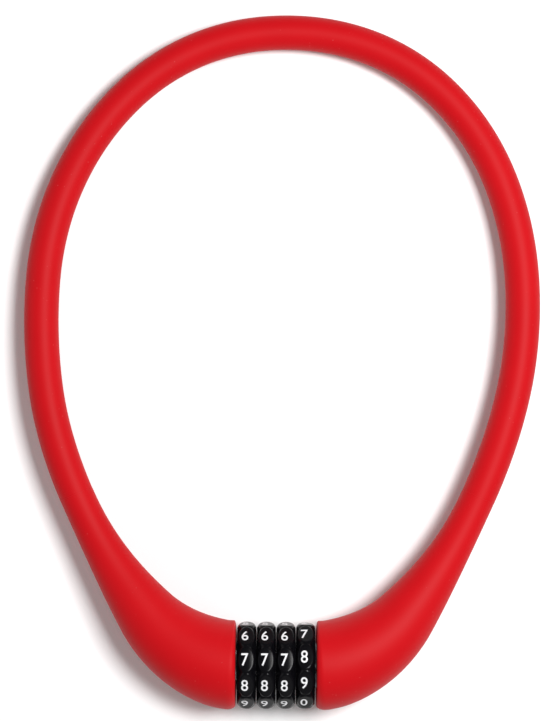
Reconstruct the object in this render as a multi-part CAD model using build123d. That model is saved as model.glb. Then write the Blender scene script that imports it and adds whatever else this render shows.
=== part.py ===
"""Four-dial combination cable lock, closed into a loop and lying flat. Sizes in millimetres.

The lock is drawn in its loop frame and then set down on the floor:
  loop frame: X along the dial axis, Y from the dials towards the far end of the loop,
              Z square to the plane of the loop, origin in the middle of the dial stack;
  row frame:  the loop frame tipped about X until the far end of the cable lies on the floor,
              with the origin on the floor under the middle of the dials, +Z up.
"""
from build123d import *
import math
import os

# ---------------------------------------------------------------- driving dimensions
# Cable
cable_diameter = 15.0          # over the silicone sleeve
core_diameter = 10.0           # steel rope
sleeve_clearance = 0.1         # radial, sleeve on core
exit_lead = 26.0               # first and last run of the cable, in line with its horn
cable_bends = [                # corners of the cable's route between the two lead runs
    (-104.0, 142.0), (-101.0, 188.0), (-84.0, 228.0), (-55.0, 259.0), (-18.0, 275.0),
    (25.0, 275.0), (62.0, 259.0), (90.0, 228.0), (105.0, 187.0), (107.0, 141.0),
]
arc_share = 0.45               # share of the shorter run that a corner's arc may use

# Horns: the flared silicone ends. Their centre line leaves the dial axis in three arcs.
lip_diameter = 38.5
lip_round = 2.0                # fillet at the lip
horn_arcs = [(30.0, 17.0), (60.0, 34.5), (240.0, 14.5)]   # radius, turn in degrees
flare_stretch = 0.88           # below 1 the horn starts to narrow nearer its lip
flare_power = 1.1              # above 1 the horn is slimmer towards the cable
horn_sections = 26
cover_wall = 2.4
cover_fit = 0.05               # between a cover and what it hugs

# Dials
dial_count = 4
digit_count = 10
dial_diameter = 38.0           # across the corners between two pads
dial_width = 8.1
dial_gap = 0.35                # between neighbouring dials
end_gap = 0.625                # between an outer dial and the horn beside it
dial_shoulder = 2.6            # how far the crown falls towards a dial's side
notch_radius = 1.25            # thumb notch between two pads
dial_on_ring = 0.15            # radial, dial's bore on its code ring
pad_angle = 12.0               # from the slot to the middle of the pad in the reading row
slack_angle = 4.5              # how far the last dial has crept within its gate

# Barrel, slot and locking pin, all on the dial axis
barrel_radius = 6.5
bore_radius = 3.6
running_clearance = 0.06       # radial, for what turns on the barrel
pin_clearance = 0.08           # radial, locking pin in the barrel's bore
tooth_width = 2.5
tooth_length = 2.3
tooth_tip = 8.5                # radius
slot_clearance = 0.1           # each side of a tooth
gate_width = 4.2
gate_clearance = 0.25          # beyond a tooth's tip
pin_tip_beyond_face = 2.65     # into the left housing
bore_beyond_tip = 1.5
shank_beyond_recess = 5.45     # barrel's far end in the left housing, past the spring's recess
mouth_beyond_face = 7.55       # how far the barrel's mouth stands into the right housing

# Code rings, spacers and springs
ring_length = 5.2
ring_radius = 10.6
lug_height = 1.0               # above the ring
lug_width = 2.2
lug_clearance = 0.1
click_notch_radius = 1.3
spacer_clearance = 0.1         # each side of a spacer washer
key_width = 2.4
key_groove_width = 3.0
key_groove_depth = 1.4
strip_thickness = 0.4
finger_radius = 0.7
finger_rise = 0.25             # above the barrel
stack_wire = 1.2               # diameter
stack_coils = 4
stack_wire_gap = 1.3           # between the barrel and the wire, and round the wire
stack_recess_depth = 10.6

# Parts at the barrel's mouth
circlip_thickness = 1.1
circlip_groove_depth = 0.8
circlip_gap = 5.2
retaining_ring_height = 2.9    # above the barrel
end_clip_height = 1.7
sleeve_length = 4.6            # reset sleeve
sleeve_radius = 10.4
sleeve_notch_width = 2.4
sleeve_notch_depth = 1.4
mouth_recess_gap = 0.6         # round the reset sleeve
mouth_recess_margin = 0.5

# Fastenings inside the housings
housing_length = 54.0          # along the horn's centre line
shank_radius_clearance = 0.03
pin_collar_radius = 5.5
pin_collar_length = 2.5
pin_shank_length = 10.5        # locking pin beyond its collar
cross_pin_radius = 1.5
cross_pin_inset = 1.0          # below the housing's skin
cross_pin_edge = 2.7           # from the end of a shank to its cross pin
ferrule_wall = 1.95
ferrule_in_housing = 8.0
ferrule_length = 20.0
set_screw_radius = 2.0
set_screw_bite = 0.7           # into its ferrule's dimple
set_screw_inset = 0.56         # below the housing's skin
set_screw_hex = 2.0            # across flats
set_screw_hex_depth = 1.5

rest_gap = 0.05                # kept under the far end of the cable

# ---------------------------------------------------------------- derived values
cable_radius = cable_diameter / 2
core_radius = core_diameter / 2
lip_radius = lip_diameter / 2
dial_radius = dial_diameter / 2
pitch = dial_width + dial_gap
stack_half = (dial_count * pitch - dial_gap) / 2
face_x = stack_half + end_gap                      # where the horns begin
dial_xs = [(i - (dial_count - 1) / 2) * pitch for i in range(dial_count)]
digit_step = 360 / digit_count
ring_gap = pitch - ring_length
ring_right = dial_width / 2 - 0.05                 # right face of a code ring from its dial's middle
ring_left = ring_right - ring_length
tooth_from_ring = (ring_gap - tooth_length) / 2
spacer_length = ring_gap - 2 * spacer_clearance
pin_radius = bore_radius - pin_clearance
mouth_x = face_x + mouth_beyond_face
pin_tip_x = -face_x - pin_tip_beyond_face
bore_end_x = pin_tip_x - bore_beyond_tip
recess_x = -face_x - stack_recess_depth            # bottom of the stack spring's recess
shank_end_x = recess_x - shank_beyond_recess
gate_depth = tooth_tip + gate_clearance            # radius
lug_radius = ring_radius + lug_height
dial_bore = ring_radius + dial_on_ring             # radius
key_groove_floor = barrel_radius - key_groove_depth
finger_tip = barrel_radius + finger_rise
circlip_groove_radius = barrel_radius - circlip_groove_depth
stack_mean_radius = barrel_radius + stack_wire_gap + stack_wire / 2
stack_recess_radius = stack_mean_radius + stack_wire / 2 + stack_wire_gap
mouth_recess_radius = sleeve_radius + mouth_recess_gap
far_reach = max(y for x, y in cable_bends)
tilt = math.degrees(math.asin((lip_radius - cable_radius - rest_gap) / far_reach))
horn_length = sum(radius * math.radians(turn) for radius, turn in horn_arcs)
ferrule_radius = core_radius + cover_fit + ferrule_wall
ferrule_start = housing_length - ferrule_in_housing

set_down = Pos(0, 0, lip_radius) * Rot(-tilt, 0, 0)
nodes = {}


# ---------------------------------------------------------------- helpers
def rod(x0, x1, radius):
    """Cylinder along the dial axis from x0 to x1."""
    return Pos((x0 + x1) / 2, 0, 0) * Rot(0, 90, 0) * Cylinder(radius, x1 - x0)


def ring(x0, x1, outer, inner):
    """Plain ring on the dial axis."""
    return rod(x0, x1, outer) - rod(x0 - 1, x1 + 1, inner)


def radial_block(x0, x1, width, r0, r1, angle=0.0):
    """Block from radius r0 to r1, turned about the dial axis from +Z towards +Y."""
    block = Box(x1 - x0, width, r1 - r0)
    return Rot(-angle, 0, 0) * Pos((x0 + x1) / 2, 0, (r0 + r1) / 2) * block


def upright(x, y, z0, z1, radius):
    """Cylinder square to the plane of the loop."""
    return Pos(x, y, (z0 + z1) / 2) * Cylinder(radius, z1 - z0)


def horn_point(distance):
    """Point and heading (degrees) on the right horn's centre line, by distance along it."""
    x, y, heading = face_x, 0.0, 0.0
    for radius, turn in horn_arcs:
        step = min(distance, radius * math.radians(turn))
        after = heading + math.degrees(step / radius)
        x += radius * (math.sin(math.radians(after)) - math.sin(math.radians(heading)))
        y += radius * (math.cos(math.radians(heading)) - math.cos(math.radians(after)))
        heading = after
        distance -= step
    return x, y, heading


def horn_plane(distance):
    """Plane square to the right horn's centre line."""
    x, y, heading = horn_point(distance)
    along = (math.cos(math.radians(heading)), math.sin(math.radians(heading)), 0)
    return Plane(origin=(x, y, 0), x_dir=(0, 0, 1), z_dir=along)


def horn_radius(distance):
    """Outer radius of a horn, by distance along its centre line."""
    share = min(distance / horn_length, 1.0)
    fall = (1 + math.cos(math.pi * share ** flare_stretch)) / 2
    return cable_radius + (lip_radius - cable_radius) * fall ** flare_power


def horn_loft(start, end, inset, extra=0.0):
    """Right horn's body between two distances, and extra past the end, smaller by inset."""
    count = max(6, round(horn_sections * (end - start) / horn_length))
    distances = [start + (end - start) * k / count for k in range(count)] + [end + extra]
    return loft([horn_plane(s) * Circle(horn_radius(s) - inset) for s in distances])


def horn_tube(start, end, outer, inner=0.0):
    """Tube along the last arc of the right horn's centre line."""
    radius = horn_arcs[-1][0]
    x, y, heading = horn_point(start)
    turn = math.degrees((end - start) / radius)
    path = JernArc(start=(x, y), tangent=Vector(1, 0).rotate(Axis.Z, heading), radius=radius,
                   arc_size=turn)
    section = Circle(outer)
    if inner:
        section -= Circle(inner)
    return sweep(horn_plane(start) * section, path=path)


def other_side(shape):
    """Mirror image in the middle plane of the dial stack."""
    return mirror(shape, about=Plane.YZ)


def keep(name, shape):
    """Set one piece down in the row frame under its node name."""
    nodes[name] = set_down * shape


# ---------------------------------------------------------------- dials and code rings
def number_dial(x):
    """Crowned ten-sided dial with a thumb notch at each corner and a splined bore."""
    half = dial_width / 2
    crown = ThreePointArc((-half, dial_radius - dial_shoulder), (0, dial_radius),
                          (half, dial_radius - dial_shoulder))
    outline = crown + Polyline((half, dial_radius - dial_shoulder), (half, dial_bore),
                               (-half, dial_bore), (-half, dial_radius - dial_shoulder))
    body = revolve(make_face(outline), axis=Axis.X)
    sides = extrude(Plane.YZ.offset(-half) * RegularPolygon(dial_radius, digit_count), dial_width)
    body &= sides
    for k in range(digit_count):
        corner = Rot(-(k + 0.5) * digit_step, 0, 0)
        body -= corner * Pos(0, 0, dial_radius + notch_radius / 4) * rod(-half, half, notch_radius)
        body -= radial_block(-half, half, lug_width + 2 * lug_clearance, dial_bore - 1,
                             lug_radius + lug_clearance, k * digit_step - pad_angle)
    return Pos(x, 0, 0) * body


def code_ring(x):
    """Ring with a gate, ten click notches in its bore and ten lugs that key it to its dial."""
    x0, x1 = x + ring_left, x + ring_right
    body = rod(x0, x1, ring_radius)
    for k in range(digit_count):
        body += radial_block(x0, x1, lug_width, ring_radius - 1, lug_radius, k * digit_step)
    body -= rod(x0 - 1, x1 + 1, barrel_radius + running_clearance)
    for k in range(1, digit_count):
        notch = rod(x0 - 1, x1 + 1, click_notch_radius)
        body -= Rot(-k * digit_step, 0, 0) * Pos(0, 0, barrel_radius - 0.2) * notch
    return body - radial_block(x0 - 1, x1 + 1, gate_width, 0, gate_depth)


def make_dials():
    """Dials and code rings. The last dial has crept by the slack of its gate."""
    for i, x in enumerate(dial_xs):
        creep = slack_angle if i == dial_count - 1 else 0.0
        keep(f"dial_{i + 1}", Rot(-(pad_angle + creep), 0, 0) * number_dial(x))
        keep(f"code_ring_{i + 1}", Rot(-creep, 0, 0) * code_ring(x))


# ---------------------------------------------------------------- barrel and what it carries
def make_barrel():
    """Slotted barrel, blind at its left end, with grooves for two circlips and the click strip."""
    body = rod(shank_end_x, mouth_x, barrel_radius)
    body -= rod(bore_end_x, mouth_x + 1, bore_radius)
    slot_start = dial_xs[0] + ring_left - ring_gap
    body -= radial_block(slot_start, mouth_x + 1, tooth_width + 2 * slot_clearance, 0,
                         barrel_radius + 1)
    body -= radial_block(-face_x, retaining_x(), key_groove_width, key_groove_floor,
                         barrel_radius + 1, 180)
    for x in (retaining_x(), clip_x()):
        body -= ring(x, x + circlip_thickness + 0.1, barrel_radius + 1, circlip_groove_radius)
    hole_x = shank_end_x + cross_pin_edge
    body -= upright(hole_x, 0, -barrel_radius - 1, barrel_radius + 1, cross_pin_radius + 0.02)
    keep("barrel", body)


def retaining_x():
    """Left face of the retaining ring's groove."""
    return stack_half + 0.175


def reset_x():
    """Left face of the reset sleeve."""
    return retaining_x() + circlip_thickness + 0.25


def clip_x():
    """Left face of the end clip's groove."""
    return reset_x() + sleeve_length + 0.1


def circlip(x, outer):
    """Open ring in a groove of the barrel, its gap over the slot."""
    body = ring(x + 0.05, x + 0.05 + circlip_thickness, outer, circlip_groove_radius + 0.05)
    return body - radial_block(x - 1, x + circlip_thickness + 1, circlip_gap, 0, outer + 1)


def spacer_washer(x0):
    """Washer with a gate over the slot and a key in the barrel's lower groove."""
    x1 = x0 + spacer_length
    body = ring(x0, x1, ring_radius - 0.05, barrel_radius + running_clearance)
    body -= radial_block(x0 - 1, x1 + 1, gate_width, 0, gate_depth)
    key_tip = key_groove_floor + strip_thickness + 0.4
    return body + radial_block(x0, x1, key_width, key_tip, barrel_radius + 0.5, 180)


def click_strip():
    """Spring strip in the lower groove, with one raised finger under each code ring."""
    floor = key_groove_floor + 0.05
    body = radial_block(-face_x + 0.3, retaining_x() - 0.3, key_width, floor,
                        floor + strip_thickness, 180)
    centre = finger_tip - finger_radius
    for x in dial_xs:
        middle = x + (ring_left + ring_right) / 2
        half = ring_length / 2 - 1
        finger = radial_block(middle - half, middle + half, 2 * finger_radius,
                              floor + strip_thickness / 2, centre, 180)
        body += finger + Pos(0, 0, -centre) * rod(middle - half, middle + half, finger_radius)
    return body


def stack_spring():
    """Open coil spring round the barrel, from the housing's recess to the first spacer."""
    right = dial_xs[0] + ring_left - spacer_clearance - spacer_length - 0.1 - stack_wire / 2
    left = recess_x + 0.1 + stack_wire / 2
    height = right - left
    coil = Helix(pitch=height / stack_coils, height=height, radius=stack_mean_radius,
                 center=(left, 0, 0), direction=(1, 0, 0))
    start = Plane(origin=coil @ 0, z_dir=coil % 0)
    return sweep(start * Circle(stack_wire / 2), path=coil, is_frenet=True)


def make_stack_parts():
    """Spacers, springs, circlips and the reset sleeve."""
    for i, x in enumerate(dial_xs):
        keep(f"spacer_washer_{i + 1}",
             spacer_washer(x + ring_left - spacer_clearance - spacer_length))
    keep("click_spring", click_strip())
    keep("stack_spring", stack_spring())
    keep("retaining_ring", circlip(retaining_x(), barrel_radius + retaining_ring_height))
    keep("end_clip", circlip(clip_x(), barrel_radius + end_clip_height))
    x0, x1 = reset_x(), reset_x() + sleeve_length
    sleeve = ring(x0, x1, sleeve_radius, barrel_radius + running_clearance)
    sleeve -= radial_block(x0 - 1, x1 + 1, gate_width, 0, gate_depth)
    for angle in (90, 270):
        sleeve -= radial_block(x1 - sleeve_notch_depth, x1 + 1, sleeve_notch_width,
                               barrel_radius + 1, sleeve_radius + 1, angle)
    keep("reset_sleeve", sleeve)


# ---------------------------------------------------------------- locking pin
def recess_end_x():
    """Bottom of the right housing's recess for the barrel's mouth."""
    return mouth_x + mouth_recess_margin


def pin_end_x():
    """Far end of the locking pin inside the right housing."""
    return recess_end_x() + pin_collar_length + pin_shank_length


def make_locking_pin():
    """Pin with one tooth to the left of each code ring, a collar and a cross-drilled shank."""
    body = rod(pin_tip_x, pin_end_x(), pin_radius)
    body += rod(recess_end_x(), recess_end_x() + pin_collar_length, pin_collar_radius)
    for x in dial_xs:
        right = x + ring_left - tooth_from_ring
        body += radial_block(right - tooth_length, right, tooth_width, 0, tooth_tip)
    tip = body.faces().sort_by(Axis.X)[0]
    body = chamfer(tip.edges(), 0.8)
    hole_x = pin_end_x() - cross_pin_edge
    body -= upright(hole_x, 0, -pin_radius - 1, pin_radius + 1, cross_pin_radius + 0.02)
    keep("locking_pin", body)


# ---------------------------------------------------------------- horns
def cross_pin(x):
    """Plain pin across a housing, just short of its skin at both ends."""
    x = abs(x)
    reach = housing_half_height(x) - cross_pin_inset
    body = upright(x, 0, -reach, reach, cross_pin_radius)
    ends = body.edges().filter_by(GeomType.CIRCLE)
    return chamfer(ends, 0.3)


def housing_half_height(x):
    """Half height of the housing, square to the loop, over the point x of the dial axis."""
    step = horn_length / 200
    distance = min((abs(horn_point(k * step)[0] - x), k * step) for k in range(200))[1]
    offset = horn_point(distance)[1]
    return math.sqrt((horn_radius(distance) - cover_wall) ** 2 - offset ** 2)


def blank_housing():
    """Right housing before its sockets are cut, with the ferrule's socket and set screw hole."""
    body = horn_loft(0, housing_length, cover_wall)
    body -= horn_tube(ferrule_start, housing_length + 2, ferrule_radius + cover_fit)
    x, y, z0, z1 = screw_place()
    return body - upright(x, y, 0, z1 + 5, set_screw_radius + 0.03)


def screw_place():
    """Axis point and lower and upper end of the right ferrule's set screw."""
    distance = ferrule_start + ferrule_in_housing / 2
    x, y, heading = horn_point(distance)
    skin = horn_radius(distance) - cover_wall
    return x, y, ferrule_radius - set_screw_bite, skin - set_screw_inset


def ferrule():
    """Crimped steel sleeve on the end of the core, with a flat-bottomed dimple for its screw."""
    body = horn_tube(ferrule_start + 0.1, ferrule_start + ferrule_length, ferrule_radius,
                     core_radius + cover_fit)
    x, y, z0, z1 = screw_place()
    return body - upright(x, y, z0 - 0.05, z1, set_screw_radius + 0.1)


def set_screw():
    """Grub screw with a hexagon socket."""
    x, y, z0, z1 = screw_place()
    body = upright(x, y, z0, z1, set_screw_radius)
    socket = extrude(Plane.XY.offset(z1 - set_screw_hex_depth)
                     * Pos(x, y) * RegularPolygon(set_screw_hex / 2, 6, major_radius=False),
                     set_screw_hex_depth + 1)
    return body - socket


def horn_cover():
    """Right silicone horn: hollow over the housing, the ferrule and the core."""
    flare = horn_loft(0, housing_length, 0.0)
    lip = flare.faces().sort_by(Axis.X)[0].edges()
    body = fillet(lip, lip_round) + horn_loft(housing_length, horn_length, 0.0)
    body -= horn_loft(0, housing_length, cover_wall - cover_fit, cover_fit)
    ferrule_end = ferrule_start + ferrule_length
    body -= horn_tube(housing_length - 1, ferrule_end + 0.1, ferrule_radius + cover_fit)
    return body - horn_tube(ferrule_end - 1, horn_length, core_radius + cover_fit)


def make_horns():
    """Covers, housings, ferrules, set screws and cross pins of both ends."""
    blank = blank_housing()
    left = other_side(blank)
    shank = barrel_radius + shank_radius_clearance
    left -= rod(shank_end_x - 0.1, -face_x + 5, shank)
    left -= rod(recess_x, -face_x + 5, stack_recess_radius)
    left_pin_x = shank_end_x + cross_pin_edge
    left -= upright(left_pin_x, 0, -lip_radius, lip_radius, cross_pin_radius + 0.02)
    right = blank - rod(face_x - 5, recess_end_x(), mouth_recess_radius)
    collar = pin_collar_radius + shank_radius_clearance
    right -= rod(recess_end_x() - 1, recess_end_x() + pin_collar_length + 0.05, collar)
    right -= rod(recess_end_x(), pin_end_x() + 0.1, pin_radius + shank_radius_clearance)
    right_pin_x = pin_end_x() - cross_pin_edge
    right -= upright(right_pin_x, 0, -lip_radius, lip_radius, cross_pin_radius + 0.02)
    keep("housing_left", left)
    keep("housing_right", right)
    keep("barrel_cross_pin", other_side(cross_pin(left_pin_x)))
    keep("locking_pin_cross_pin", cross_pin(right_pin_x))
    for name, piece in (("horn_cover", horn_cover()), ("cable_ferrule", ferrule()),
                        ("ferrule_set_screw", set_screw())):
        keep(f"{name}_left", other_side(piece))
        keep(f"{name}_right", piece)


# ---------------------------------------------------------------- cable
def cable_route():
    """Corners of the cable's route from the left horn to the right one."""
    x, y, heading = horn_point(horn_length)
    lead_x = x + exit_lead * math.cos(math.radians(heading))
    lead_y = y + exit_lead * math.sin(math.radians(heading))
    return [(-x, y), (-lead_x, lead_y), *cable_bends, (lead_x, lead_y), (x, y)]


def corner_radii(points):
    """Radius of each corner's arc: as large as the two runs beside it allow."""
    vectors = [Vector(*p) for p in points]
    radii = []
    for before, here, after in zip(vectors, vectors[1:], vectors[2:]):
        turn = (here - before).get_angle(after - here)
        shorter = min((here - before).length, (after - here).length)
        radii.append(arc_share * shorter / math.tan(math.radians(turn / 2)))
    return radii


def make_cable():
    """Silicone sleeve between the horns and the steel core from ferrule to ferrule."""
    points = cable_route()
    radii = corner_radii(points)
    path = FilletPolyline(*points, radius=radii)
    start = Plane(origin=path @ 0, x_dir=(0, 0, 1), z_dir=path % 0)
    sleeve_section = Circle(cable_radius) - Circle(core_radius + sleeve_clearance)
    sleeve = sweep(start * sleeve_section, path=path)
    core = sweep(start * Circle(core_radius), path=path)
    for name, tube, area in (
        ("sleeve", sleeve, sleeve_section.area), ("core", core, math.pi * core_radius ** 2)
    ):
        print(f"{name}: volume {tube.volume:.0f}, section times length {area * path.length:.0f}")
    stub = horn_tube(ferrule_start + 1.0, horn_length, core_radius)
    core = core + stub + other_side(stub)
    print("cable route radii:", ", ".join(f"{r:.0f}" for r in radii))
    print(f"cable route length {path.length:.1f}, between fittings "
          f"{path.length + 2 * (horn_length - ferrule_start - ferrule_length):.1f}")
    keep("cable_sleeve", sleeve)
    keep("cable_core", core)


# ---------------------------------------------------------------- build
make_dials()
make_barrel()
make_stack_parts()
make_locking_pin()
make_horns()
make_cable()

os.makedirs("parts", exist_ok=True)
for name, shape in nodes.items():
    export_step(shape, f"parts/{name}.step")
print(f"{len(nodes)} nodes, tilt {tilt:.3f} degrees, horns begin at {face_x:.3f}")
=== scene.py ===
"""Four-dial combination cable lock: the visual model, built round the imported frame.

The lock is a thick silicone-covered cable whose two ends flare into horns. The horns meet at four
glossy number dials. Everything is in metres. Most pieces are drawn in the loop's own frame (X along
the dial axis, Y towards the far end of the loop, Z square to the loop) and then set down in the row
frame by LoopFrame.
"""

import logging
import math
from collections.abc import Sequence
from dataclasses import dataclass, field
from enum import Enum

import bmesh
import bpy
import numpy as np
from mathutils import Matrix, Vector


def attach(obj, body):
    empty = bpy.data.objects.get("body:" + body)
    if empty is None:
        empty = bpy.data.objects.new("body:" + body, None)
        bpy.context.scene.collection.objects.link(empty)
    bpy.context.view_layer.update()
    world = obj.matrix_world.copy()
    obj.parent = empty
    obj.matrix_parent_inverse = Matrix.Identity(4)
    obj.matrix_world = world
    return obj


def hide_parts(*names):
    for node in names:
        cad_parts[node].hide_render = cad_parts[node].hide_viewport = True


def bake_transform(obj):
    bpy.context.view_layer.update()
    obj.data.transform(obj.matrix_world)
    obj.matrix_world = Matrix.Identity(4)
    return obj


log = logging.getLogger("cable_lock")
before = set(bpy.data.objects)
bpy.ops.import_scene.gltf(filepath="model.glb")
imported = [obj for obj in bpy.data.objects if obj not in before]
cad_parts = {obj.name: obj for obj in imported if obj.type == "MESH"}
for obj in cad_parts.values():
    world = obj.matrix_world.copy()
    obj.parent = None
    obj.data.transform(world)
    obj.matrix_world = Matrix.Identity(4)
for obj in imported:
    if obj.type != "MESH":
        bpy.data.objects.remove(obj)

MM = 0.001
MERGE_DISTANCE = 1e-7
LIP_RADIUS = 19.25 * MM
CABLE_RADIUS = 7.5 * MM
# digit in the reading row and turn in degrees of each dial, from left to right
DIAL_READINGS = ((7, 12.0), (7, 12.0), (7, 12.0), (8, 16.5))


# ------------------------------------------------------------------ shared geometry
class Side(Enum):
    """Which end of the lock a piece belongs to; the value is the sign of its x."""

    LEFT = -1
    RIGHT = 1

    @property
    def word(self) -> str:
        """The side's name in lower case."""
        return self.name.lower()


@dataclass(frozen=True)
class LoopFrame:
    """The tipped plane that the lock is drawn in, resting on the horns' lips and the far cable."""

    lip_radius: float = LIP_RADIUS
    cable_radius: float = CABLE_RADIUS
    rest_gap: float = 0.05 * MM
    far_reach: float = 275 * MM

    @property
    def tilt(self) -> float:
        """Angle between the plane of the loop and the floor, in radians."""
        return math.asin((self.lip_radius - self.cable_radius - self.rest_gap) / self.far_reach)

    def place(self, points: np.ndarray) -> np.ndarray:
        """Set points of the loop's frame down in the row frame.

        Args:
            points: An array of n by 3 coordinates in the loop's frame.

        Returns:
            The same points in the row frame.
        """
        points = np.asarray(points, float)
        c, s = math.cos(self.tilt), math.sin(self.tilt)
        x, y, z = points[:, 0], points[:, 1], points[:, 2]
        return np.column_stack([x, y * c + z * s, -y * s + z * c + self.lip_radius])


@dataclass(frozen=True)
class HornLine:
    """Centre line and radius of a horn, from its lip to the cable."""

    face_x: float = 17.35 * MM
    arcs: tuple[tuple[float, float], ...] = ((30 * MM, 17.0), (60 * MM, 34.5), (240 * MM, 14.5))
    lip_radius: float = LIP_RADIUS
    cable_radius: float = CABLE_RADIUS
    flare_stretch: float = 0.88
    flare_power: float = 1.1

    @property
    def length(self) -> float:
        """Length of the centre line."""
        return sum(radius * math.radians(turn) for radius, turn in self.arcs)

    def point(self, distance: float) -> tuple[float, float, float]:
        """Point and heading on the right horn's centre line.

        Args:
            distance: Length along the centre line from the lip.

        Returns:
            x, y and the heading in radians from +X.
        """
        x, y, heading = self.face_x, 0.0, 0.0
        for radius, turn in self.arcs:
            step = min(distance, radius * math.radians(turn))
            after = heading + step / radius
            x += radius * (math.sin(after) - math.sin(heading))
            y += radius * (math.cos(heading) - math.cos(after))
            heading = after
            distance -= step
        return x, y, heading

    def radius(self, distance: float) -> float:
        """Outer radius of the horn at a distance along its centre line."""
        share = min(distance / self.length, 1.0)
        fall = (1 + math.cos(math.pi * share**self.flare_stretch)) / 2
        return self.cable_radius + (self.lip_radius - self.cable_radius) * fall**self.flare_power

    def ring(self, distance: float, radius: float, segments: int) -> np.ndarray:
        """Circle of points round the right horn's centre line.

        Args:
            distance: Length along the centre line from the lip.
            radius: Radius of the circle.
            segments: Number of points.

        Returns:
            An array of points in the loop's frame.
        """
        x, y, heading = self.point(distance)
        turn = np.linspace(0, 2 * math.pi, segments, endpoint=False)
        across = np.array([-math.sin(heading), math.cos(heading), 0.0])
        up = np.array([0.0, 0.0, 1.0])
        spokes = np.outer(np.cos(turn), across) + np.outer(np.sin(turn), up)
        return np.array([x, y, 0.0]) + radius * spokes


LOOP = LoopFrame()
HORN = HornLine()


def mesh_piece(
    name: str, verts: np.ndarray, faces: Sequence[Sequence[int]], crease: float = 40.0
) -> bpy.types.Object:
    """Make a smooth-shaded mesh object whose faces point outwards.

    Args:
        name: Name of the object.
        verts: Points in the row frame.
        faces: Faces by vertex number.
        crease: Edges sharper than this angle, in degrees, stay sharp.

    Returns:
        The object, linked to the scene.
    """
    mesh = bpy.data.meshes.new(name)
    mesh.from_pydata([tuple(v) for v in np.asarray(verts, float)], [], [tuple(f) for f in faces])
    tidy_mesh(mesh, crease)
    piece = bpy.data.objects.new(name, mesh)
    bpy.context.scene.collection.objects.link(piece)
    return piece


def tidy_mesh(mesh: bpy.types.Mesh, crease: float = 40.0) -> None:
    """Merge doubles, turn the faces outwards, and shade smooth with sharp creases."""
    work = bmesh.new()
    work.from_mesh(mesh)
    bmesh.ops.remove_doubles(work, verts=work.verts, dist=MERGE_DISTANCE)
    bmesh.ops.recalc_face_normals(work, faces=work.faces)
    work.to_mesh(mesh)
    work.free()
    mesh.shade_smooth()
    mesh.set_sharp_from_angle(angle=math.radians(crease))


def loft(
    rings: Sequence[np.ndarray], closed: bool
) -> tuple[np.ndarray, list[tuple[int, int, int, int]]]:
    """Join rings of equal size into a skin.

    Args:
        rings: Rings of points, in order.
        closed: True if the last ring joins the first one, which makes a closed tube wall.

    Returns:
        All the points, and the faces between neighbouring rings.
    """
    size = len(rings[0])
    faces = []
    for i in range(len(rings) if closed else len(rings) - 1):
        a, b = i * size, (i + 1) % len(rings) * size
        for k in range(size):
            n = (k + 1) % size
            faces.append((a + k, a + n, b + n, b + k))
    return np.vstack(rings), faces


# ------------------------------------------------------------------ shader groups
class EffectGroup:
    """A shader node group that puts out values that change over a surface."""

    def __init__(self, name: str, inputs: dict[str, float], outputs: dict[str, str]) -> None:
        """Make the group with a Vector input, float inputs and the named outputs.

        Args:
            name: Name of the group.
            inputs: Names and default values of its float inputs.
            outputs: Names of its outputs and their socket types.
        """
        self.tree = bpy.data.node_groups.new(name, "ShaderNodeTree")
        face = self.tree.interface
        face.new_socket(name="Vector", in_out="INPUT", socket_type="NodeSocketVector")
        for key, value in inputs.items():
            socket = face.new_socket(name=key, in_out="INPUT", socket_type="NodeSocketFloat")
            socket.default_value = value
        for key, kind in outputs.items():
            face.new_socket(name=key, in_out="OUTPUT", socket_type=kind)
        self.source = self.tree.nodes.new("NodeGroupInput")
        self.sink = self.tree.nodes.new("NodeGroupOutput")

    def node(self, kind: str, **settings: object) -> bpy.types.Node:
        """Add a node and set its properties."""
        made = self.tree.nodes.new(kind)
        for key, value in settings.items():
            setattr(made, key, value)
        return made

    def link(self, out: bpy.types.NodeSocket, into: bpy.types.NodeSocket) -> None:
        """Join two sockets."""
        self.tree.links.new(out, into)

    def math(self, operation: str, a: object, b: object = 0.0) -> bpy.types.NodeSocket:
        """Add a math node.

        Args:
            operation: Blender's name of the operation.
            a: First value, a socket or a number.
            b: Second value, a socket or a number.

        Returns:
            The node's output.
        """
        made = self.node("ShaderNodeMath", operation=operation)
        for socket, value in zip(made.inputs, (a, b)):
            if isinstance(value, bpy.types.NodeSocket):
                self.link(value, socket)
            else:
                socket.default_value = value
        return made.outputs[0]

    def noise(self, scale: object, detail: float, vector: object = None) -> bpy.types.NodeSocket:
        """Add a noise texture on the group's vector and return its value."""
        made = self.node("ShaderNodeTexNoise")
        self.link(vector or self.source.outputs["Vector"], made.inputs["Vector"])
        if isinstance(scale, bpy.types.NodeSocket):
            self.link(scale, made.inputs["Scale"])
        else:
            made.inputs["Scale"].default_value = scale
        made.inputs["Detail"].default_value = detail
        return made.outputs[0]

    def ramp(
        self, value: bpy.types.NodeSocket, low: float, high: float
    ) -> bpy.types.NodeSocket:
        """Stretch a value so that low becomes 0 and high becomes 1, clamped."""
        made = self.node("ShaderNodeMapRange", clamp=True)
        self.link(value, made.inputs["Value"])
        made.inputs["From Min"].default_value = low
        made.inputs["From Max"].default_value = high
        return made.outputs["Result"]


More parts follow.
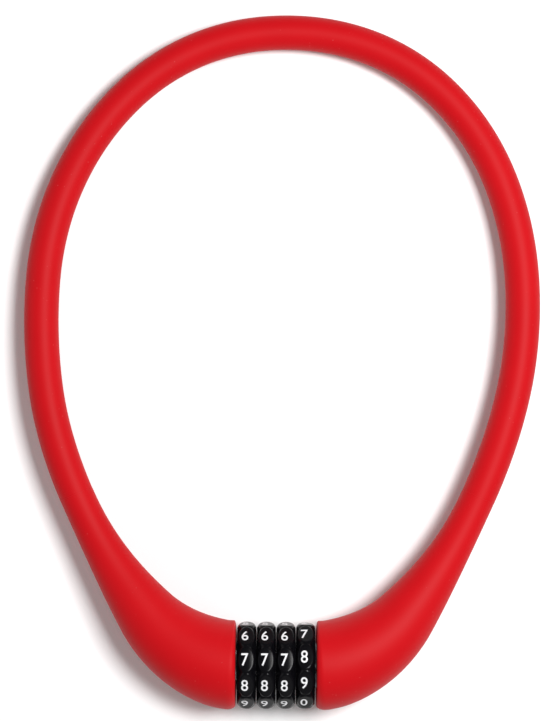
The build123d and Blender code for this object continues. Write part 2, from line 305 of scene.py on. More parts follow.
def moulded_skin_group() -> bpy.types.NodeTree:
    """Fine mould texture over a slow waviness, and slow patches of tone."""
    group = EffectGroup(
        "moulded_skin",
        {"Grain Scale": 2500.0, "Wave Scale": 60.0, "Wave Share": 0.5},
        {"Height": "NodeSocketFloat", "Tone": "NodeSocketFloat"},
    )
    fine = group.noise(group.source.outputs["Grain Scale"], 3.0)
    slow = group.noise(group.source.outputs["Wave Scale"], 2.0)
    wave = group.math("MULTIPLY", slow, group.source.outputs["Wave Share"])
    group.link(group.math("ADD", fine, wave), group.sink.inputs["Height"])
    group.link(group.ramp(slow, 0.3, 0.7), group.sink.inputs["Tone"])
    return group.tree


def lint_group() -> bpy.types.NodeTree:
    """Small pale specks of dust, thinly and unevenly spread."""
    group = EffectGroup(
        "lint",
        {"Speck Scale": 900.0, "Spread Scale": 35.0, "Amount": 0.5},
        {"Mask": "NodeSocketFloat"},
    )
    cells = group.node("ShaderNodeTexVoronoi")
    group.link(group.source.outputs["Vector"], cells.inputs["Vector"])
    group.link(group.source.outputs["Speck Scale"], cells.inputs["Scale"])
    dots = group.math("SUBTRACT", 1.0, group.ramp(cells.outputs["Distance"], 0.05, 0.2))
    few = group.node("ShaderNodeSeparateColor")
    group.link(cells.outputs["Color"], few.inputs["Color"])
    chosen = group.ramp(few.outputs["Red"], 0.9, 0.93)
    patches = group.ramp(group.noise(group.source.outputs["Spread Scale"], 2.0), 0.42, 0.62)
    mask = group.math("MULTIPLY", group.math("MULTIPLY", dots, chosen), patches)
    group.link(group.math("MULTIPLY", mask, group.source.outputs["Amount"]),
               group.sink.inputs["Mask"])
    return group.tree


def hairline_group() -> bpy.types.NodeTree:
    """Thin, short scratches in two directions, as handling leaves them."""
    group = EffectGroup(
        "hairlines",
        {"Scale": 120.0, "Amount": 0.5},
        {"Mask": "NodeSocketFloat"},
    )
    masks = []
    for turn, stretch in ((0.5, 14.0), (-0.9, 18.0)):
        mapping = group.node("ShaderNodeMapping")
        group.link(group.source.outputs["Vector"], mapping.inputs["Vector"])
        mapping.inputs["Rotation"].default_value = (turn, turn / 2, turn)
        mapping.inputs["Scale"].default_value = (1.0, stretch, stretch)
        lines = group.noise(group.source.outputs["Scale"], 2.0, mapping.outputs["Vector"])
        near = group.math("ABSOLUTE", group.math("SUBTRACT", lines, 0.5))
        masks.append(group.math("SUBTRACT", 1.0, group.ramp(near, 0.0, 0.012)))
    both = group.math("MAXIMUM", masks[0], masks[1])
    patches = group.ramp(group.noise(90.0, 2.0), 0.45, 0.65)
    mask = group.math("MULTIPLY", group.math("MULTIPLY", both, patches),
                      group.source.outputs["Amount"])
    group.link(mask, group.sink.inputs["Mask"])
    return group.tree


@dataclass
class Effects:
    """The shader groups, each built once."""

    skin: bpy.types.NodeTree = field(default_factory=moulded_skin_group)
    lint: bpy.types.NodeTree = field(default_factory=lint_group)
    hairlines: bpy.types.NodeTree = field(default_factory=hairline_group)


# ------------------------------------------------------------------ finishes
class Shader:
    """A material under construction: its nodes, links and Principled shader."""

    def __init__(self, name: str) -> None:
        """Start a node material with one Principled shader on Object coordinates."""
        self.material = bpy.data.materials.new(name)
        self.material.use_nodes = True
        self.nodes = self.material.node_tree.nodes
        self.bsdf = self.nodes["Principled BSDF"]
        self.coords = self.nodes.new("ShaderNodeTexCoord")

    def link(self, out: bpy.types.NodeSocket, into: bpy.types.NodeSocket) -> None:
        """Join two sockets."""
        self.material.node_tree.links.new(out, into)

    def set(self, **values: object) -> None:
        """Set plain values on the shader's sockets, with _ for the spaces in their names."""
        for key, value in values.items():
            self.bsdf.inputs[key.replace("_", " ")].default_value = value

    def effect(self, tree: bpy.types.NodeTree, **values: float) -> bpy.types.Node:
        """Place a shader group on Object coordinates with its own values."""
        made = self.nodes.new("ShaderNodeGroup")
        made.node_tree = tree
        self.link(self.coords.outputs["Object"], made.inputs["Vector"])
        for key, value in values.items():
            made.inputs[key.replace("_", " ")].default_value = value
        return made

    def blend(
        self,
        mask: bpy.types.NodeSocket,
        low: bpy.types.NodeSocket | Sequence[float],
        high: Sequence[float],
    ) -> bpy.types.NodeSocket:
        """Colour that runs from low, a socket or a plain colour, to high as the mask rises."""
        made = self.nodes.new("ShaderNodeMix")
        made.data_type = "RGBA"
        self.link(mask, made.inputs["Factor"])
        if isinstance(low, bpy.types.NodeSocket):
            self.link(low, made.inputs["A"])
        else:
            made.inputs["A"].default_value = (*low, 1.0)
        made.inputs["B"].default_value = (*high, 1.0)
        return made.outputs["Result"]

    def between(
        self, mask: bpy.types.NodeSocket, low: float, high: float
    ) -> bpy.types.NodeSocket:
        """Number that runs from low to high as the mask goes from 0 to 1."""
        made = self.nodes.new("ShaderNodeMapRange")
        self.link(mask, made.inputs["Value"])
        made.inputs["To Min"].default_value = low
        made.inputs["To Max"].default_value = high
        return made.outputs["Result"]

    def bump(self, height: bpy.types.NodeSocket, distance: float, strength: float) -> None:
        """Give the surface a bump of this depth, in metres."""
        made = self.nodes.new("ShaderNodeBump")
        made.inputs["Distance"].default_value = distance
        made.inputs["Strength"].default_value = strength
        self.link(height, made.inputs["Height"])
        self.link(made.outputs["Normal"], self.bsdf.inputs["Normal"])


@dataclass(frozen=True)
class SiliconeFinish:
    """Matte coloured silicone with a faint mould texture and a little dust."""

    name: str = "red_silicone"
    deep: tuple[float, float, float] = (0.500, 0.0024, 0.0060)
    light: tuple[float, float, float] = (0.525, 0.0028, 0.0066)
    dust: tuple[float, float, float] = (0.72, 0.22, 0.22)

    def build(self, effects: Effects) -> bpy.types.Material:
        """Make the material."""
        shader = Shader(self.name)
        skin = shader.effect(effects.skin, Grain_Scale=2600.0, Wave_Scale=45.0, Wave_Share=0.6)
        lint = shader.effect(effects.lint, Speck_Scale=700.0, Spread_Scale=30.0, Amount=0.35)
        tone = shader.blend(skin.outputs["Tone"], self.deep, self.light)
        shader.link(shader.blend(lint.outputs["Mask"], tone, self.dust),
                    shader.bsdf.inputs["Base Color"])
        shader.link(shader.between(skin.outputs["Tone"], 0.53, 0.55),
                    shader.bsdf.inputs["Roughness"])
        shader.set(Specular_IOR_Level=0.15, IOR=1.42, Sheen_Weight=0.03, Sheen_Roughness=0.5)
        shader.bump(skin.outputs["Height"], 0.00002, 0.5)
        return shader.material


@dataclass(frozen=True)
class GlossFinish:
    """Glossy dark moulded plastic with hairlines and a faint ripple."""

    name: str = "dial_gloss_black"
    color: tuple[float, float, float] = (0.0030, 0.0028, 0.0038)
    worn: tuple[float, float, float] = (0.012, 0.012, 0.014)

    def build(self, effects: Effects) -> bpy.types.Material:
        """Make the material."""
        shader = Shader(self.name)
        skin = shader.effect(effects.skin, Grain_Scale=900.0, Wave_Scale=220.0, Wave_Share=1.0)
        lines = shader.effect(effects.hairlines, Scale=260.0, Amount=0.5)
        tone = shader.blend(lines.outputs["Mask"], self.color, self.worn)
        shader.link(tone, shader.bsdf.inputs["Base Color"])
        shader.link(shader.between(lines.outputs["Mask"], 0.17, 0.34),
                    shader.bsdf.inputs["Roughness"])
        shader.set(Specular_IOR_Level=0.10, IOR=1.45)
        shader.bump(skin.outputs["Height"], 0.00001, 0.35)
        return shader.material


@dataclass(frozen=True)
class InkFinish:
    """White pad-printed ink with a slightly uneven edge and thin spots."""

    name: str = "number_ink"
    full: tuple[float, float, float] = (0.86, 0.86, 0.87)
    thin: tuple[float, float, float] = (0.66, 0.66, 0.68)

    def build(self, effects: Effects) -> bpy.types.Material:
        """Make the material."""
        shader = Shader(self.name)
        skin = shader.effect(effects.skin, Grain_Scale=3800.0, Wave_Scale=900.0, Wave_Share=1.0)
        tone = shader.blend(skin.outputs["Tone"], self.thin, self.full)
        shader.link(tone, shader.bsdf.inputs["Base Color"])
        shader.link(shader.between(skin.outputs["Tone"], 0.5, 0.38),
                    shader.bsdf.inputs["Roughness"])
        shader.bump(skin.outputs["Height"], 0.00001, 0.4)
        return shader.material


@dataclass(frozen=True)
class MetalFinish:
    """Metal, or hard plastic with metallic at 0: two tones in patches, and hairlines."""

    name: str
    color: tuple[float, float, float]
    dull: tuple[float, float, float]
    smooth: float = 0.24
    rough: float = 0.42
    grain: float = 2200.0
    depth: float = 0.00001
    scratches: float = 0.6
    metallic: float = 1.0

    def build(self, effects: Effects) -> bpy.types.Material:
        """Make the material."""
        shader = Shader(self.name)
        skin = shader.effect(effects.skin, Grain_Scale=self.grain, Wave_Scale=150.0,
                             Wave_Share=0.8)
        lines = shader.effect(effects.hairlines, Scale=180.0, Amount=self.scratches)
        tone = shader.blend(skin.outputs["Tone"], self.dull, self.color)
        shader.link(tone, shader.bsdf.inputs["Base Color"])
        shader.link(shader.between(lines.outputs["Mask"], self.smooth, self.rough),
                    shader.bsdf.inputs["Roughness"])
        shader.set(Metallic=self.metallic)
        shader.bump(skin.outputs["Height"], self.depth, 0.5)
        return shader.material


STEEL = MetalFinish("turned_steel", (0.62, 0.62, 0.63), (0.48, 0.48, 0.50))
PLATED = MetalFinish("plated_pin_steel", (0.74, 0.74, 0.75), (0.62, 0.62, 0.64), 0.12, 0.30)
SPRING = MetalFinish("spring_steel", (0.26, 0.26, 0.28), (0.17, 0.17, 0.19), 0.30, 0.48)
BRASS = MetalFinish("turned_brass", (0.72, 0.53, 0.24), (0.58, 0.41, 0.18), 0.22, 0.40)
PHOSPHATED = MetalFinish("phosphated_steel", (0.055, 0.055, 0.058), (0.035, 0.035, 0.038),
                         0.45, 0.6, scratches=0.3, metallic=0.6)
BLACKENED = MetalFinish("blackened_steel", (0.10, 0.10, 0.11), (0.06, 0.06, 0.07), 0.32, 0.50)
ROPE = MetalFinish("rope_wire", (0.52, 0.52, 0.53), (0.36, 0.36, 0.37), 0.30, 0.48,
                   grain=3000.0)
HOUSING = MetalFinish("housing_nylon", (0.050, 0.050, 0.053), (0.038, 0.038, 0.041), 0.50, 0.62,
                      grain=1600.0, depth=0.00003, scratches=0.3, metallic=0.0)


# ------------------------------------------------------------------ horns
@dataclass
class HornCover:
    """One flared silicone end: a shell with a rounded lip, hollow over what it hugs."""

    side: Side
    line: HornLine = HORN
    wall: float = 2.35 * MM
    lip_round: float = 2.15 * MM
    lip_length: float = 2.7 * MM
    lip_steps: int = 10
    housing_end: float = 54.05 * MM
    ferrule_end: float = 66.1 * MM
    ferrule_bore: float = 7.05 * MM
    core_bore: float = 5.05 * MM
    outer_rings: int = 150
    inner_rings: int = 40
    core_rings: int = 12
    segments: int = 128

    def profile(self) -> list[tuple[float, float]]:
        """Closed outline of the wall as distance along the horn and radius."""
        length = self.line.length
        start = self.lip_length
        outer = [
            (length + (start - length) * k / self.outer_rings) for k in range(self.outer_rings + 1)
        ]
        points = [(s, self.line.radius(s)) for s in outer]
        top = points[-1][1]
        for k in range(1, self.lip_steps + 1):
            turn = math.pi / 2 * k / self.lip_steps
            points.append((start * (1 - math.sin(turn)),
                           top - self.lip_round * (1 - math.cos(turn))))
        for k in range(self.inner_rings + 1):
            s = self.housing_end * k / self.inner_rings
            points.append((s, self.line.radius(s) - self.wall))
        points.append((self.housing_end, self.ferrule_bore))
        points.append((self.ferrule_end, self.ferrule_bore))
        points.append((self.ferrule_end, self.core_bore))
        for k in range(1, self.core_rings + 1):
            points.append((self.ferrule_end + (length - self.ferrule_end) * k / self.core_rings,
                           self.core_bore))
        return points

    def build(self, material: bpy.types.Material) -> bpy.types.Object:
        """Make the cover and put it on its body in place of the plain one.

        Args:
            material: The silicone.

        Returns:
            The cover's object.
        """
        rings = [self.line.ring(s, r, self.segments) for s, r in self.profile()]
        verts, faces = loft(rings, closed=True)
        verts[:, 0] *= self.side.value
        piece = mesh_piece(f"silicone_horn_{self.side.word}", LOOP.place(verts), faces,
                           crease=50.0)
        piece.data.materials.append(material)
        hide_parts(f"horn_cover_{self.side.word}")
        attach(piece, "lock_body" if self.side is Side.LEFT else "pin_end")
        return piece


# ------------------------------------------------------------------ dials
@dataclass
class NumberDial:
    """One glossy number dial with ten oval pads, each with a printed digit."""

    index: int
    top_digit: int
    pad_angle: float
    width: float = 8.1 * MM
    pitch: float = 8.45 * MM
    count: int = 4
    digits: int = 10
    corner_radius: float = 19.0 * MM
    bore: float = 10.8 * MM
    crown_radius: float = 18.0 * MM
    oval_half_width: float = 3.1 * MM
    oval_half_height: float = 5.1 * MM
    edge_slope: float = 0.42
    edge_curl: float = 0.85 / MM
    deepest: float = 3.2 * MM
    across: int = 44
    per_pad: int = 36
    digit_height: float = 5.3 * MM
    digit_stretch: float = 0.88
    stroke_offset: float = 0.006
    print_offset: float = -0.65 * MM
    ink: float = 0.03 * MM
    strip: float = 0.3 * MM
    strips: int = 8
    rim_drop: float = 0.2 * MM

    @property
    def x(self) -> float:
        """Middle of the dial on its axis."""
        return (self.index - (self.count - 1) / 2) * self.pitch

    @property
    def step(self) -> float:
        """Angle from one digit to the next, in radians."""
        return 2 * math.pi / self.digits

    @property
    def face_radius(self) -> float:
        """Distance of a pad's flat face from the axis."""
        return self.corner_radius * math.cos(self.step / 2)

    def crown(self, x: np.ndarray) -> np.ndarray:
        """How far a pad's face falls away from its middle line."""
        return self.crown_radius - np.sqrt(self.crown_radius**2 - np.asarray(x) ** 2)

    def surface(self, x: np.ndarray, angle: np.ndarray) -> np.ndarray:
        """Radius of the dial's skin.

        Args:
            x: Distance from the dial's middle along its axis.
            angle: Angle from the nearest pad's middle, in radians.

        Returns:
            The radius.
        """
        along = self.face_radius * np.tan(angle)
        flat = self.face_radius / np.cos(angle)
        reach = np.sqrt((x / self.oval_half_width) ** 2 + (along / self.oval_half_height) ** 2)
        outside = np.maximum(reach - 1, 0) * self.oval_half_width
        fall = self.edge_slope * outside + self.edge_curl * outside**2
        fall = self.deepest * np.tanh(fall / self.deepest)
        return flat - self.crown(x) - fall

    def build_body(self, material: bpy.types.Material) -> bpy.types.Object:
        """Make the dial's closed skin, with its bore, in place of the plain dial."""
        half = self.width / 2
        spread = np.sin(np.linspace(-math.pi / 2, math.pi / 2, self.across + 1)) * half
        total = self.digits * self.per_pad
        turn = np.arange(total) * 2 * math.pi / total
        local = (turn + self.step / 2) % self.step - self.step / 2
        rings = [(x, self.surface(np.full(total, x), local)) for x in spread]
        rim = rings[-1][1]
        rings += [(half, rim - self.rim_drop), (half, np.full(total, self.bore))]
        rings += [(-half, np.full(total, self.bore)), (-half, rim - self.rim_drop)]
        angle = turn + math.radians(self.pad_angle)
        loops = [
            np.column_stack([np.full(total, self.x + x), r * np.sin(angle), r * np.cos(angle)])
            for x, r in rings
        ]
        verts, faces = loft(loops, closed=True)
        piece = mesh_piece(f"number_dial_{self.index + 1}", LOOP.place(verts), faces,
                           crease=55.0)
        piece.data.materials.append(material)
        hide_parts(f"dial_{self.index + 1}")
        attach(piece, f"dial_{self.index + 1}_set")
        return piece

    def flat_digit(self, digit: int) -> bmesh.types.BMesh:
        """One digit as a flat face mesh, centred, cut into narrow upright strips."""
        curve = bpy.data.curves.new(f"digit_{digit}", "FONT")
        curve.body = str(digit)
        curve.offset = self.stroke_offset
        curve.fill_mode = "FRONT"
        curve.resolution_u = 6
        text = bpy.data.objects.new(f"digit_{digit}", curve)
        bpy.context.scene.collection.objects.link(text)
        bpy.context.view_layer.update()
        mesh = bpy.data.meshes.new_from_object(
            text.evaluated_get(bpy.context.evaluated_depsgraph_get()))
        bpy.data.objects.remove(text)
        work = bmesh.new()
        work.from_mesh(mesh)
        bpy.data.meshes.remove(mesh)
        co = np.array([v.co for v in work.verts])
        low, high = co.min(0), co.max(0)
        scale = self.digit_height / (high[1] - low[1])
        middle = (low + high) / 2
        for v in work.verts:
            v.co = (Vector(v.co) - Vector(middle)) * scale
            v.co.x *= self.digit_stretch
        for k in range(-self.strips, self.strips + 1):
            everything = work.verts[:] + work.edges[:] + work.faces[:]
            bmesh.ops.bisect_plane(work, geom=everything, plane_co=(k * self.strip, 0, 0),
                                   plane_no=(1, 0, 0), dist=MERGE_DISTANCE)
        bmesh.ops.triangulate(work, faces=work.faces[:])
        return work

    def build_digits(self, material: bpy.types.Material) -> bpy.types.Object:
        """Print the ten digits on their pads as one thin piece."""
        verts: list[tuple[float, float, float]] = []
        faces: list[tuple[int, ...]] = []
        for digit in range(self.digits):
            work = self.flat_digit(digit)
            turn = math.radians(self.pad_angle) - (digit - self.top_digit) * self.step
            out = np.array([0.0, math.sin(turn), math.cos(turn)])
            up = np.array([0.0, math.cos(turn), -math.sin(turn)])
            bmesh.ops.recalc_face_normals(work, faces=work.faces)
            ring = bmesh.ops.extrude_face_region(work, geom=work.faces[:])["geom"]
            raised = {v for v in ring if isinstance(v, bmesh.types.BMVert)}
            base = len(verts)
            work.verts.index_update()
            for v in work.verts:
                lift = self.ink if v in raised else -self.ink
                x = v.co.x + self.print_offset
                radius = self.face_radius - float(self.crown(x)) + lift
                point = np.array([self.x + x, 0, 0]) + radius * out + v.co.y * up
                verts.append(tuple(point))
            faces += [tuple(base + v.index for v in f.verts) for f in work.faces]
            work.free()
        piece = mesh_piece(f"dial_{self.index + 1}_digits", LOOP.place(np.array(verts)), faces)
        piece.data.materials.append(material)
        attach(piece, f"dial_{self.index + 1}_set")
        return piece


# ------------------------------------------------------------------ cable
def rope_tree(sides: int = 10) -> bpy.types.NodeTree:
    """Geometry Nodes that lay a steel rope's strands round a path.

    Args:
        sides: Number of sides of a strand's section.

    Returns:
        A tree with the strand count, lay radius, strand radius, lay length and material as inputs.
    """
    tree = bpy.data.node_groups.new("rope_strands", "GeometryNodeTree")
    face = tree.interface
    face.new_socket(name="Geometry", in_out="INPUT", socket_type="NodeSocketGeometry")
    for name, kind, value in (
        ("Strands", "NodeSocketInt", 6), ("Lay Radius", "NodeSocketFloat", 0.0033),
        ("Strand Radius", "NodeSocketFloat", 0.0016), ("Lay Length", "NodeSocketFloat", 0.06),
    ):
        face.new_socket(name=name, in_out="INPUT", socket_type=kind).default_value = value
    face.new_socket(name="Material", in_out="INPUT", socket_type="NodeSocketMaterial")
    face.new_socket(name="Geometry", in_out="OUTPUT", socket_type="NodeSocketGeometry")

    def add(kind: str, **settings: object) -> bpy.types.Node:
        """Add a node and set its properties."""
        made = tree.nodes.new(kind)
        for key, value in settings.items():
            setattr(made, key, value)
        return made

    def maths(operation: str, *values: object) -> bpy.types.NodeSocket:
        """Add a math node on sockets or numbers and return its output."""
        made = add("ShaderNodeMath", operation=operation)
        for socket, value in zip(made.inputs, values):
            if isinstance(value, bpy.types.NodeSocket):
                tree.links.new(value, socket)
            else:
                socket.default_value = value
        return made.outputs[0]

    def scaled(vector: bpy.types.NodeSocket, factor: bpy.types.NodeSocket) -> bpy.types.NodeSocket:
        """Multiply a vector by a number."""
        made = add("ShaderNodeVectorMath", operation="SCALE")
        tree.links.new(vector, made.inputs[0])
        tree.links.new(factor, made.inputs["Scale"])
        return made.outputs[0]

    source, sink = add("NodeGroupInput"), add("NodeGroupOutput")
    path = add("GeometryNodeMeshToCurve")
    tree.links.new(source.outputs["Geometry"], path.inputs["Mesh"])
    upright = add("GeometryNodeSetCurveNormal", mode="Z_UP")
    tree.links.new(path.outputs["Curve"], upright.inputs["Curve"])
    copies = add("GeometryNodeDuplicateElements", domain="SPLINE")
    tree.links.new(upright.outputs["Curve"], copies.inputs["Geometry"])
    tree.links.new(source.outputs["Strands"], copies.inputs["Amount"])
    where = add("GeometryNodeSplineParameter")
    along = maths("DIVIDE", where.outputs["Length"], source.outputs["Lay Length"])
    turn = maths("DIVIDE", copies.outputs["Duplicate Index"], source.outputs["Strands"])
    angle = maths("MULTIPLY", maths("ADD", along, turn), 2 * math.pi)
    normal, tangent = add("GeometryNodeInputNormal"), add("GeometryNodeInputTangent")
    cross = add("ShaderNodeVectorMath", operation="CROSS_PRODUCT")
    tree.links.new(tangent.outputs[0], cross.inputs[0])
    tree.links.new(normal.outputs[0], cross.inputs[1])
    lay = source.outputs["Lay Radius"]
    first = scaled(normal.outputs[0], maths("MULTIPLY", maths("COSINE", angle), lay))
    second = scaled(cross.outputs[0], maths("MULTIPLY", maths("SINE", angle), lay))
    both = add("ShaderNodeVectorMath", operation="ADD")
    tree.links.new(first, both.inputs[0])
    tree.links.new(second, both.inputs[1])
    move = add("GeometryNodeSetPosition")
    tree.links.new(copies.outputs["Geometry"], move.inputs["Geometry"])
    tree.links.new(both.outputs[0], move.inputs["Offset"])
    section = add("GeometryNodeCurvePrimitiveCircle")
    section.inputs["Resolution"].default_value = sides
    tree.links.new(source.outputs["Strand Radius"], section.inputs["Radius"])
    skin = add("GeometryNodeCurveToMesh")
    skin.inputs["Fill Caps"].default_value = True
    tree.links.new(move.outputs["Geometry"], skin.inputs["Curve"])
    tree.links.new(section.outputs["Curve"], skin.inputs["Profile Curve"])
    real = add("GeometryNodeRealizeInstances")
    tree.links.new(skin.outputs["Mesh"], real.inputs["Geometry"])
    dress = add("GeometryNodeSetMaterial")
    tree.links.new(real.outputs["Geometry"], dress.inputs["Geometry"])
    tree.links.new(source.outputs["Material"], dress.inputs["Material"])
    tree.links.new(dress.outputs["Geometry"], sink.inputs["Geometry"])
    return tree


def baked(piece: bpy.types.Object) -> None:
    """Turn a piece's modifiers into plain mesh and remove them."""
    bpy.context.view_layer.update()
    graph = bpy.context.evaluated_depsgraph_get()
    mesh = bpy.data.meshes.new_from_object(piece.evaluated_get(graph))
    piece.modifiers.clear()
    piece.data = mesh


@dataclass
class Cable:
    """The loop: a silicone sleeve over a steel rope, from horn to horn."""

    diameter: float = 2 * CABLE_RADIUS
    bore: float = 10.2 * MM
    core: float = 10 * MM
    core_start: float = 47 * MM
    segments: int = 96
    strands: int = 6
    strand_fit: float = 0.995
    core_steps: int = 13
    lay_length: float = 70 * MM
    stretch_half: float = 79 * MM
    stretch_y: float = 80 * MM
    route: tuple[tuple[float, float], ...] = (
        (-0.08701, 0.07312), (-0.09759, 0.09688), (-0.104, 0.142), (-0.101, 0.188),
        (-0.084, 0.228), (-0.055, 0.259), (-0.018, 0.275), (0.025, 0.275), (0.062, 0.259),
        (0.090, 0.228), (0.105, 0.187), (0.107, 0.141), (0.09759, 0.09688), (0.08701, 0.07312),
    )

    def line(self) -> np.ndarray:
        """Points along the route's smooth line, in the row frame."""
        control = LOOP.place(np.array([(x, y, 0.0) for x, y in self.route]))
        curve = bpy.data.curves.new("cable_line", "CURVE")
        curve.dimensions = "3D"
        spline = curve.splines.new("NURBS")
        spline.points.add(len(control) - 1)
        for point, place in zip(spline.points, control):
            point.co = (*place, 1.0)
        spline.order_u = 3
        spline.use_endpoint_u = True
        spline.resolution_u = 20
        holder = bpy.data.objects.new("cable_line", curve)
        bpy.context.scene.collection.objects.link(holder)
        bpy.context.view_layer.update()
        mesh = bpy.data.meshes.new_from_object(
            holder.evaluated_get(bpy.context.evaluated_depsgraph_get()))
        points = np.array([v.co for v in mesh.vertices])
        bpy.data.objects.remove(holder)
        bpy.data.curves.remove(curve)
        bpy.data.meshes.remove(mesh)
        return points

    @staticmethod
    def length(points: np.ndarray) -> float:
        """Length of a line of points."""
        return float(np.linalg.norm(np.diff(points, axis=0), axis=1).sum())

    def rings(self, points: np.ndarray, radius: float) -> list[np.ndarray]:
        """Circles round the cable's line, square to the horns' ends at both ends."""
        up = np.array([0.0, math.sin(LOOP.tilt), math.cos(LOOP.tilt)])
        ahead = np.gradient(points, axis=0)
        exit_heading = HORN.point(HORN.length)[2]
        for index, rise in ((0, 1), (-1, -1)):
            way = [-math.cos(exit_heading), rise * math.sin(exit_heading), 0]
            here, there = LOOP.place(np.array([[0, 0, 0], way]))
            ahead[index] = there - here
        turn = np.linspace(0, 2 * math.pi, self.segments, endpoint=False)
        made = []
        for point, heading in zip(points, ahead):
            across = np.cross(up, heading)
            across /= np.linalg.norm(across)
            spokes = np.outer(np.cos(turn), across) + np.outer(np.sin(turn), up)
            made.append(point + radius * spokes)
        return made

    def core_line(self, points: np.ndarray) -> np.ndarray:
        """The rope's line: the cable's, carried on inside both horns to the ferrules."""
        steps = np.linspace(self.core_start, HORN.length, self.core_steps, endpoint=False)
        right = np.array([(*HORN.point(s)[:2], 0.0) for s in steps])
        left = right * np.array([-1.0, 1.0, 1.0])
        return np.vstack([LOOP.place(left), points, LOOP.place(right[::-1])])

    def build_core(self, points: np.ndarray, material: bpy.types.Material) -> bpy.types.Object:
        """Make the steel rope: six strands laid round a seventh."""
        path = self.core_line(points)
        tree = rope_tree()
        strand = self.core / 6  # a strand's radius, with three strands across the rope
        made = []
        for name, count, lay in (("rope_strands", self.strands, 2 * strand), ("rope_king", 1, 0.0)):
            mesh = bpy.data.meshes.new(name)
            mesh.from_pydata([tuple(p) for p in path], [(i, i + 1) for i in range(len(path) - 1)],
                             [])
            piece = bpy.data.objects.new(name, mesh)
            bpy.context.scene.collection.objects.link(piece)
            modifier = piece.modifiers.new("rope", "NODES")
            modifier.node_group = tree
            values = {"Strands": count, "Lay Radius": lay,
                      "Strand Radius": strand * self.strand_fit,
                      "Lay Length": self.lay_length, "Material": material}
            for item in tree.interface.items_tree:
                if item.in_out == "INPUT" and item.name in values:
                    modifier[item.identifier] = values[item.name]
            baked(piece)
            made.append(piece)
        rope, king = made
        work = bmesh.new()
        for piece in made:
            work.from_mesh(piece.data)
        joined = bpy.data.meshes.new("steel_rope")
        work.to_mesh(joined)
        work.free()
        joined.materials.append(material)
        joined.shade_smooth()
        joined.set_sharp_from_angle(angle=math.radians(50))
        rope.name, rope.data = "steel_rope", joined
        bpy.data.objects.remove(king)
        return rope

    def build(self, silicone: bpy.types.Material, wire: bpy.types.Material) -> None:
        """Args:
            silicone: Material of the sleeve.
            wire: Material of the rope.
        """
        points = self.line()
        outer = self.rings(points, self.diameter / 2)
        inner = self.rings(points, self.bore / 2)
        verts, faces = loft(outer + inner[::-1], closed=True)
        sleeve = mesh_piece("silicone_sleeve", verts, faces, crease=50.0)
        sleeve.data.materials.append(silicone)
        rope = self.build_core(points, wire)
        for piece, node, slot in (
            (sleeve, "cable_sleeve", "silicone"), (rope, "cable_core", "wire_rope"),
        ):
            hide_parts(node)
            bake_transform(piece)
        length = self.length(points)
        log.info("cable: %.1f mm between the horns", length / MM)


# ------------------------------------------------------------------ carried-over pieces
@dataclass(frozen=True)
class Hardware:
    """The mechanism's pieces that keep their own shape and get their finish here."""

    finishes: tuple[tuple[MetalFinish, tuple[str, ...]], ...] = (
        (STEEL, ("barrel", "cable_ferrule_left", "cable_ferrule_right")),
        (PLATED, ("locking_pin",)),
        (SPRING, ("click_spring", "stack_spring", "retaining_ring", "end_clip")),
        (BRASS, ("code_ring_1", "code_ring_2", "code_ring_3", "code_ring_4", "reset_sleeve")),
        (PHOSPHATED, ("spacer_washer_1", "spacer_washer_2", "spacer_washer_3",
                      "spacer_washer_4")),
        (BLACKENED, ("barrel_cross_pin", "locking_pin_cross_pin", "ferrule_set_screw_left",
                     "ferrule_set_screw_right")),
        (HOUSING, ("housing_left", "housing_right")),
    )

    def dress(self, effects: Effects) -> None:
        """Give every carried-over piece its finish."""
        for finish, names in self.finishes:
            material = finish.build(effects)
            for name in names:
                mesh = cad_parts[name].data
                mesh.materials.clear()
                mesh.materials.append(material)
            log.info("%s on %d pieces", finish.name, len(names))


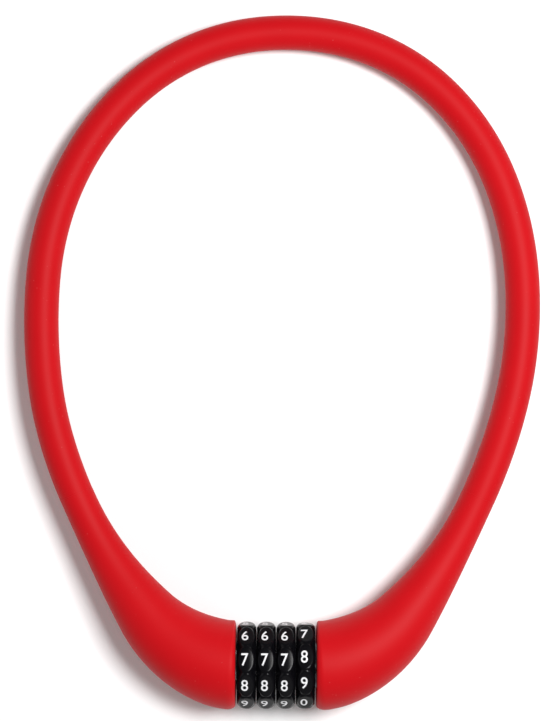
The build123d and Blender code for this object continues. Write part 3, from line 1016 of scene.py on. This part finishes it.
# ------------------------------------------------------------------ studio
@dataclass(frozen=True)
class Studio:
    """Pale floor, soft light mostly from the upper right and a camera straight above."""

    middle: tuple[float, float] = (-0.00135, 0.1316)
    height: float = 1.07
    object_height: float = 0.0155
    view_height: float = 0.3125
    roll: float = 0.4
    floor_half: float = 3.0
    aim: tuple[float, float, float] = (0.0, 0.13, 0.0)
    lights: tuple[tuple[str, tuple[float, float, float], float, float], ...] = (
        ("key", (0.40, 0.26, 1.0), 0.34, 13.0),
        ("side", (-1.3, 0.3, 0.7), 0.9, 3.0),
        ("low", (0.1, -1.2, 0.8), 0.8, 1.5),
    )
    sky_strength: float = 0.24

    def floor(self) -> None:
        """A wide plain floor."""
        half = self.floor_half
        corners = [(-half, -half, 0), (half, -half, 0), (half, half, 0), (-half, half, 0)]
        mesh = bpy.data.meshes.new("studio_floor")
        mesh.from_pydata(corners, [], [(0, 1, 2, 3)])
        floor = bpy.data.objects.new("studio_floor", mesh)
        bpy.context.scene.collection.objects.link(floor)
        shader = Shader("studio_paper")
        shader.set(Base_Color=(0.93, 0.93, 0.93, 1.0), Roughness=0.9, Specular_IOR_Level=0.1)
        mesh.materials.append(shader.material)

    def light(self, name: str, place: Sequence[float], size: float, power: float) -> None:
        """Add a square soft light that faces the studio's aim.

        Args:
            name: Name of the light.
            place: Where it stands.
            size: Side of its square.
            power: Power in watts.
        """
        data = bpy.data.lights.new(name, "AREA")
        data.shape = "SQUARE"
        data.size = size
        data.energy = power
        lamp = bpy.data.objects.new(name, data)
        lamp.location = place
        facing = Vector(self.aim) - Vector(place)
        lamp.rotation_euler = facing.to_track_quat("-Z", "Y").to_euler()
        bpy.context.scene.collection.objects.link(lamp)

    def camera(self) -> None:
        """A long lens straight above, framed on the whole loop."""
        data = bpy.data.cameras.new("camera")
        data.sensor_width = 36.0
        data.lens = data.sensor_width * self.height / self.view_height
        camera = bpy.data.objects.new("camera", data)
        camera.location = (*self.middle, self.height + self.object_height)
        camera.rotation_euler = (0.0, 0.0, math.radians(self.roll))
        bpy.context.scene.collection.objects.link(camera)
        bpy.context.scene.camera = camera

    def build(self) -> None:
        """Set up the floor, the lights, the sky and the camera."""
        self.floor()
        self.camera()
        for name, place, size, power in self.lights:
            self.light(name, place, size, power)
        world = bpy.data.worlds.new("studio_sky")
        world.use_nodes = True
        sky = world.node_tree.nodes["Background"]
        sky.inputs["Color"].default_value = (1.0, 1.0, 1.0, 1.0)
        sky.inputs["Strength"].default_value = self.sky_strength
        bpy.context.scene.world = world
        bpy.context.scene.view_settings.view_transform = "Standard"


def main() -> None:
    """Build the lock, its finishes and the studio."""
    logging.basicConfig(level=logging.INFO, format="%(name)s: %(message)s")
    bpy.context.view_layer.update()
    effects = Effects()
    silicone = SiliconeFinish().build(effects)
    gloss = GlossFinish().build(effects)
    ink = InkFinish().build(effects)
    wire = ROPE.build(effects)
    Studio().build()
    Cable().build(silicone, wire)
    for side in Side:
        piece = HornCover(side).build(silicone)
        log.info("%s: %d faces", piece.name, len(piece.data.polygons))
    for index, (digit, angle) in enumerate(DIAL_READINGS):
        dial = NumberDial(index, digit, angle)
        body = dial.build_body(gloss)
        numbers = dial.build_digits(ink)
        log.info("%s: %d faces, digits %d", body.name, len(body.data.polygons),
                 len(numbers.data.polygons))
    Hardware().dress(effects)


if __name__ == "__main__":
    main()
